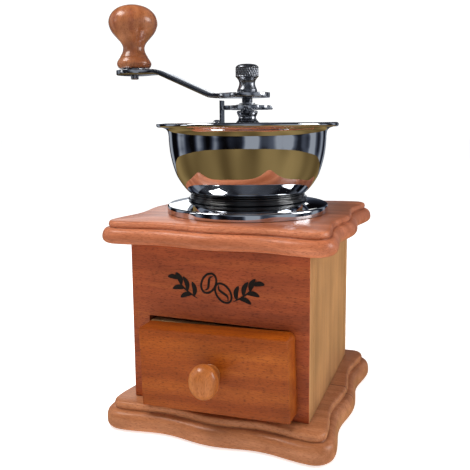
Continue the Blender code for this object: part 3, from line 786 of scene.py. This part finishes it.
# %% [markdown]
# ## The thumb nut and the shaft
# The crank is held by a nut that is turned by hand, so its upper band is knurled in diamonds.
# Real knurling is geometry that catches the light in many small facets: here the radius of the
# band rises and falls along two crossed spirals. The shaft below it carries a thread.

# %% Thumb nut
NUT_KNURLS = 30
KNURL_DEPTH = 0.28
KNURL_PITCH = 1.25                     # height of one diamond
KNURL_FADE = 0.35                      # how softly the band begins and ends


def knurled(name, profile, band, depth, material, body, replaced):
    """Spin a profile, and work crossed spiral grooves into the band between two heights."""
    bm = bmesh.new()
    steps = NUT_KNURLS * 6
    low, high = band
    rings = []
    for radius, height in profile:
        ring = []
        share = min(1.0, max(0.0, min(height - low, high - height) / KNURL_FADE))
        for index in range(steps):
            angle = 2 * math.pi * index / steps
            climb = (height - low) / KNURL_PITCH * math.pi
            groove = max(math.cos(NUT_KNURLS * angle + turn) for turn in (climb, -climb))
            reach = radius - depth * share * (0.5 + 0.5 * groove)
            ring.append((reach * math.cos(angle), reach * math.sin(angle), height))
        rings.append(ring)
    skin(bm, rings)
    return settle(name, bm, material, body, replaced)


nut_line = through([(5.5, 176.4), (5.55, 177.4), (5.1, 178.5), (4.6, 179.8), (4.4, 181.2),
                    (4.7, 182.5), (5.3, 183.5), (6.1, 184.4)], 4)
nut_line += [(6.4, 184.6 + 0.16 * step) for step in range(32)]
nut_line += through([(6.3, 189.8), (5.7, 190.6), (4.5, 191.2), (2.6, 191.5), (0.2, 191.6)], 4)
knurled("thumb_nut_knurled", nut_line, (184.7, 189.5), KNURL_DEPTH, dark_nickel, "crank",
        ("thumb_nut",))

shaft_line = [(0, 188.0), (1.6, 187.9)]
for turn in range(22):
    shaft_line += [(2.05, 187.6 - turn * 0.5), (1.75, 187.35 - turn * 0.5)]
shaft_line += [(2.05, 176.6), (2.3, 175.6), (2.3, 173.2), (2.9, 172.95)]
for turn in range(4):
    shaft_line += [(3.1, 172.85 - turn * 0.5), (2.75, 172.6 - turn * 0.5)]
shaft_line += [(3.1, 170.85), (3.0, 170.7), (2.5, 170.7), (2.5, 69.2), (2.1, 68.5), (0, 68.2)]
lathe("drive_shaft_threaded", shaft_line, zinc, "crank", ("drive_shaft",), steps=48)
print("nut has", NUT_KNURLS, "knurls")

# %% [markdown]
# ## Screws, pin and spring
# Screws are turned and then slotted or crossed with a Boolean. The spring is a round wire wound
# in a helix, made as a curve with a round bevel and closed end turns that lie almost flat.


# %% Screws and pin
def screw(name, profile, material, body, replaced, place, turn, recess, wide=0.7, cross=True):
    """A turned screw whose head, at its own origin and facing +Z, has a slot or a cross."""
    made = lathe(name, profile, material, body, replaced, place, turn, steps=40)
    radius, depth = recess
    tools = [block_tool((-radius, -wide / 2, -depth), (radius, wide / 2, 1))]
    if cross:
        tools.append(block_tool((-wide / 2, -radius, -depth), (wide / 2, radius, 1)))
    for tool in tools:
        tool.matrix_world = made.matrix_world.copy()
    bpy.context.view_layer.update()
    return carve(made, *tools)


wood_screw = ([(0, 0), (3.25, 0), (3.4, -0.15)] + [(1.9, -1.75)]
              + [(radius, -2.4 - 0.6 * step - drop) for step in range(40)
                 for radius, drop in ((1.6, 0.0), (1.25, 0.3))]
              + [(1.0, -28.0), (0, -29.6)])
for number in (1, 2, 3, 4):
    low, high = node_span(f"base_screw_{number}")
    screw(f"base_screw_{number}_crossed", wood_screw, zinc, "cabinet", (f"base_screw_{number}",),
          ((low[0] + high[0]) / 2, (low[1] + high[1]) / 2, low[2]), (180, 0, 0), (2.2, 1.2))
for side in ("left", "right"):
    low, high = node_span(f"bridge_bolt_{side}")
    bolt_line = through([(0, 0), (1.6, -0.2), (2.9, -0.9), (3.4, -2.0)], 5)
    bolt_line += [(3.3, -2.25), (2.0, -2.3), (2.0, low[2] - high[2]), (0, low[2] - high[2])]
    screw(f"bridge_bolt_{side}_crossed", bolt_line, zinc, "cabinet", (f"bridge_bolt_{side}",),
          ((low[0] + high[0]) / 2, 0, high[2]), None, (1.9, 1.1))
low, high = node_span("leaf_screw")
leaf_line = [(0, 0), (1.2, -0.1), (1.8, -0.5), (2.0, -1.3), (0.9, -1.3), (0.9, -6.0), (0, -6.0)]
screw("leaf_screw_slotted", leaf_line, zinc, "cabinet", ("leaf_screw",),
      ((low[0] + high[0]) / 2, 0, high[2]), None, (2.2, 0.6), 0.5, False)
low, high = node_span("drawer_knob_screw")
knob_screw = [(0, 0), (2.6, -0.1), (3.0, -0.5), (3.0, -1.4), (1.5, -1.5), (1.5, -26), (0, -26)]
screw("drawer_knob_screw_crossed", knob_screw, zinc, "drawer", ("drawer_knob_screw",),
      (FRONT_X, high[1], front_middle), (-90, 0, 0), (1.8, 0.9))
low, high = node_span("grip_pin")
pin_line = [(0, 0), (2.0, 0), (2.3, -0.3), (2.3, -(211.8 - low[2])), (3.0, -(212.0 - low[2])),
            (3.0, -(213.4 - low[2])), (0, -(214.0 - low[2]))]
screw("grip_pin_slotted", pin_line, zinc, "crank", ("grip_pin",), (GRIP_X, 0, low[2]),
      (180, 0, 0), (3.0, 0.8), 0.7, False)

# %% Pressure spring
SPRING_RADIUS = 6.6
LIFT_ROOM = 0.9                        # the washer below climbs this far
WIRE = 0.7
spring_low, spring_high = node_span("pressure_spring")
coil_low, coil_high = spring_low[2] + WIRE + LIFT_ROOM, spring_high[2] - WIRE
coil = bpy.data.curves.new("pressure_spring_coil", "CURVE")
coil.dimensions = "3D"
coil.bevel_depth = WIRE * MM
coil.bevel_resolution = 3
coil.use_fill_caps = True
COIL_TURNS = 6.0
COIL_POINTS = 180
line = coil.splines.new("POLY")
line.points.add(COIL_POINTS)
for index, point in enumerate(line.points):
    share = index / COIL_POINTS
    climb = share * share * (3 - 2 * share)
    angle = 2 * math.pi * COIL_TURNS * share
    point.co = (*metres(SPRING_RADIUS * math.cos(angle), SPRING_RADIUS * math.sin(angle),
                        coil_low + (coil_high - coil_low) * climb), 1.0)
coil.materials.append(spring_wire)
spring = bpy.data.objects.new("pressure_spring_coil", coil)
bpy.context.scene.collection.objects.link(spring)
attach(spring, "cabinet")
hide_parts("pressure_spring")
print("spring stands", round(coil_high - coil_low, 1), "mm between its end turns")

# %% [markdown]
# ## Pieces whose shape is already right
# Flat boards, washers, the bridge and the burrs keep the shape they have in the frame. Each
# gets its finish, and a small Bevel modifier takes the knife edge off, because a real edge is
# never perfectly sharp and it is the rounded edge that catches a line of light.

# %% Finishes for the frame's own pieces
# The side panels get the side colour, which carries painted glare.
kept = [(side_beech_with_painted_glare, 0.5, ("left_panel", "right_panel")),
        (pale_beech, 0.4, ("drawer_guide_left", "drawer_guide_right", "drawer_left_side",
                           "drawer_right_side", "drawer_inner_front", "drawer_back",
                           "drawer_bottom")),
        (nickel, 0.25, ("bridge", "stop_leaf")),
        (zinc, 0.12, ("thrust_washer", "grip_washer", "spring_washer", "spring_clip",
                      "burr_washer", "burr_nut", "bridge_nut_left", "bridge_nut_right",
                      "housing_screw_front", "housing_screw_rear")),
        (iron, 0.2, ("burr_housing", "outer_burr", "inner_burr"))]
shown = 0
for finish, ease, names in kept:
    for name in names:
        piece = nodes[name]
        piece.data.materials.clear()
        piece.data.materials.append(finish)
        edge = piece.modifiers.new("Eased edges", "BEVEL")
        edge.width = ease * MM
        edge.segments = 2
        edge.limit_method = "ANGLE"
        edge.angle_limit = math.radians(50)
        shown += 1
print(shown, "pieces of the frame are finished as they are")

# %% [markdown]
# ## The studio
# A pale floor runs out to a white surround. A broad soft light hangs overhead and a second one
# stands to the right. A mirror shows whatever surrounds it, and a chromed bowl in an all-white
# studio would look like paper. So cards that only reflections can see stand in for a room: a tan
# table top around the grinder, a dark wall and ceiling with broad streaks, three windows, and a
# lamp to the upper left that puts the highlights on the lacquer.

# %% Floor
ROUND = 96                             # sides of the floor and of the round cards


def place_in_studio(name, bm, material):
    """Turn a bmesh into a piece of the studio, which is not part of the grinder."""
    mesh = bpy.data.meshes.new(name)
    bm.to_mesh(mesh)
    bm.free()
    mesh.materials.append(material)
    made = bpy.data.objects.new(name, mesh)
    bpy.context.scene.collection.objects.link(made)
    return made


def circle(radius, height):
    angles = [2 * math.pi * index / ROUND for index in range(ROUND)]
    return [(radius * math.cos(a), radius * math.sin(a), height) for a in angles]


def disc(name, radius, height, material, hole=0.0):
    bm = bmesh.new()
    if hole:
        skin(bm, [circle(hole, height), circle(radius, height)], caps=False)
    else:
        bm.faces.new([bm.verts.new(metres(*point)) for point in circle(radius, height)])
    return place_in_studio(name, bm, material)


FLOOR_GLOW = 0.62                      # keeps the paper white where the lamps don't reach
floor_white, floor_tree, floor_shader = start_material(
    "white_paper", Roughness=0.9, Emission_Strength=FLOOR_GLOW, Emission_Color=srgb("#ffffff"))
paper = node(floor_tree, "ShaderNodeTexNoise", {"Scale": 40.0})
paper_tone = node(floor_tree, "ShaderNodeMix", {0: paper.outputs["Fac"], 6: srgb("#f4f4f4"),
                                                7: srgb("#f8f8f8")}, data_type="RGBA")
floor_tree.links.new(paper_tone.outputs[2], floor_shader.inputs["Base Color"])
floor = disc("floor", 6000, -0.4, floor_white)
print("floor is", round(floor.dimensions.x), "m across")


# %% A shining material for the cards
def glow(name, stops, streaks, strength):
    """Colours picked by noise over the direction from the middle, so they form streaks."""
    material = bpy.data.materials.new(name)
    material.use_nodes = True
    tree = material.node_tree
    tree.nodes.clear()
    place = node(tree, "ShaderNodeTexCoord").outputs["Object"]
    flat_place = node(tree, "ShaderNodeVectorMath", {0: place, 1: (1.0, 1.0, 0.0)},
                      operation="MULTIPLY")
    direction = node(tree, "ShaderNodeVectorMath", {0: flat_place.outputs[0]},
                     operation="NORMALIZE")
    level = node(tree, "ShaderNodeVectorMath", {0: place, 1: (0.4, 0.4, 1.2)},
                 operation="MULTIPLY")
    both = node(tree, "ShaderNodeVectorMath", {0: direction.outputs[0], 1: (streaks,) * 3,
                                               2: level.outputs[0]}, operation="MULTIPLY_ADD")
    picked = node(tree, "ShaderNodeTexNoise", {"Vector": both.outputs[0], "Scale": 1.0,
                                               "Detail": 0.5})
    ramp = node(tree, "ShaderNodeValToRGB", {"Fac": picked.outputs["Fac"]},
                [(position, srgb(code)) for position, code in stops])
    shine = node(tree, "ShaderNodeEmission", {"Color": ramp.outputs[0], "Strength": strength})
    node(tree, "ShaderNodeOutputMaterial", {"Surface": shine.outputs[0]})
    return material


table_glow = glow("table_card", [(0.3, "#5f4d2d"), (0.7, "#9c8454")], 1.5, 1.0)
room_glow = glow("room_card", [(0.36, "#09080a"), (0.45, "#23262f"), (0.53, "#555b68"),
                               (0.62, "#9ba1aa")], 2.4, 1.0)
ceiling_glow = glow("ceiling_card", [(0.35, "#151519"), (0.65, "#5d6067")], 1.0, 1.0)
window_glow = glow("window_card", [(0.4, "#c9ced6"), (0.6, "#f2f2f0")], 1.0, 2.0)
lamp_glow = glow("lamp_card", [(0.4, "#f4f1ea"), (0.6, "#ffffff")], 1.0, 9.0)
print("card materials:", len([m for m in bpy.data.materials if m.name.endswith("_card")]))

# %% Cards that only reflections see
TABLE_RADIUS = 700
ROOM_RADIUS = 1000
ROOM_HEIGHT = 720
BOWL_FOOT = (0, 0, 110)
CABINET_TOP = (0, 0, 90)


def turned_towards(place, aim):
    return (metres(*aim) - metres(*place)).to_track_quat("-Z", "Y").to_euler()


cards = [disc("table_card", TABLE_RADIUS, -0.2, table_glow),
         disc("room_floor_card", ROOM_RADIUS, -0.3, room_glow, TABLE_RADIUS),
         disc("room_ceiling_card", ROOM_RADIUS, ROOM_HEIGHT, ceiling_glow)]
bm = bmesh.new()
skin(bm, [circle(ROOM_RADIUS, height) for height in (-1.0, ROOM_HEIGHT)], caps=False)
cards.append(place_in_studio("room_wall_card", bm, room_glow))
for name, place, aim, size, material in (
        ("window_behind", (-420, 860, 350), BOWL_FOOT, (620, 300), window_glow),
        ("window_right", (860, 330, 330), BOWL_FOOT, (200, 380), window_glow),
        ("window_left", (-800, -420, 360), BOWL_FOOT, (160, 420), window_glow),
        ("lamp_above", (-380, -240, 650), CABINET_TOP, (300, 200), lamp_glow)):
    bm = bmesh.new()
    bmesh.ops.create_grid(bm, size=0.5)
    card = place_in_studio(name, bm, material)
    card.location = metres(*place)
    card.rotation_euler = turned_towards(place, aim)
    card.scale = (size[0] * MM, size[1] * MM, 1.0)
    cards.append(card)
for card in cards:
    card.visible_camera = False
    card.visible_diffuse = False
    card.visible_transmission = False
    card.visible_volume_scatter = False
    card.visible_shadow = False
print("cards:", len(cards))


# %% Lights and surround
def soft_light(name, place, size, power):
    lamp = bpy.data.lights.new(name, "AREA")
    lamp.shape = "RECTANGLE"
    lamp.size, lamp.size_y = (length * MM for length in size)
    lamp.energy = power
    made = bpy.data.objects.new(name, lamp)
    made.location = metres(*place)
    made.rotation_euler = turned_towards(place, CABINET_TOP)
    bpy.context.scene.collection.objects.link(made)
    return made


AMBIENT = 0.42                         # the surround's light on the grinder
BACKDROP = 1.1                         # the surround as the camera sees it
overhead = soft_light("overhead_light", (-120, -160, 690), (420, 300), 4.0)
overhead.visible_glossy = False        # its mirror image would burn out on the chrome
soft_light("right_light", (760, 160, 420), (360, 420), 2.5)
world = bpy.data.worlds.new("white_surround")
world.use_nodes = True
tree = world.node_tree
tree.nodes.clear()
seen = node(tree, "ShaderNodeLightPath").outputs["Is Camera Ray"]
strength = node(tree, "ShaderNodeMapRange", {"Value": seen, "To Min": AMBIENT,
                                             "To Max": BACKDROP})
sky = node(tree, "ShaderNodeBackground", {"Color": srgb("#ffffff"),
                                          "Strength": strength.outputs[0]})
node(tree, "ShaderNodeOutputWorld", {"Surface": sky.outputs[0]})
bpy.context.scene.world = world
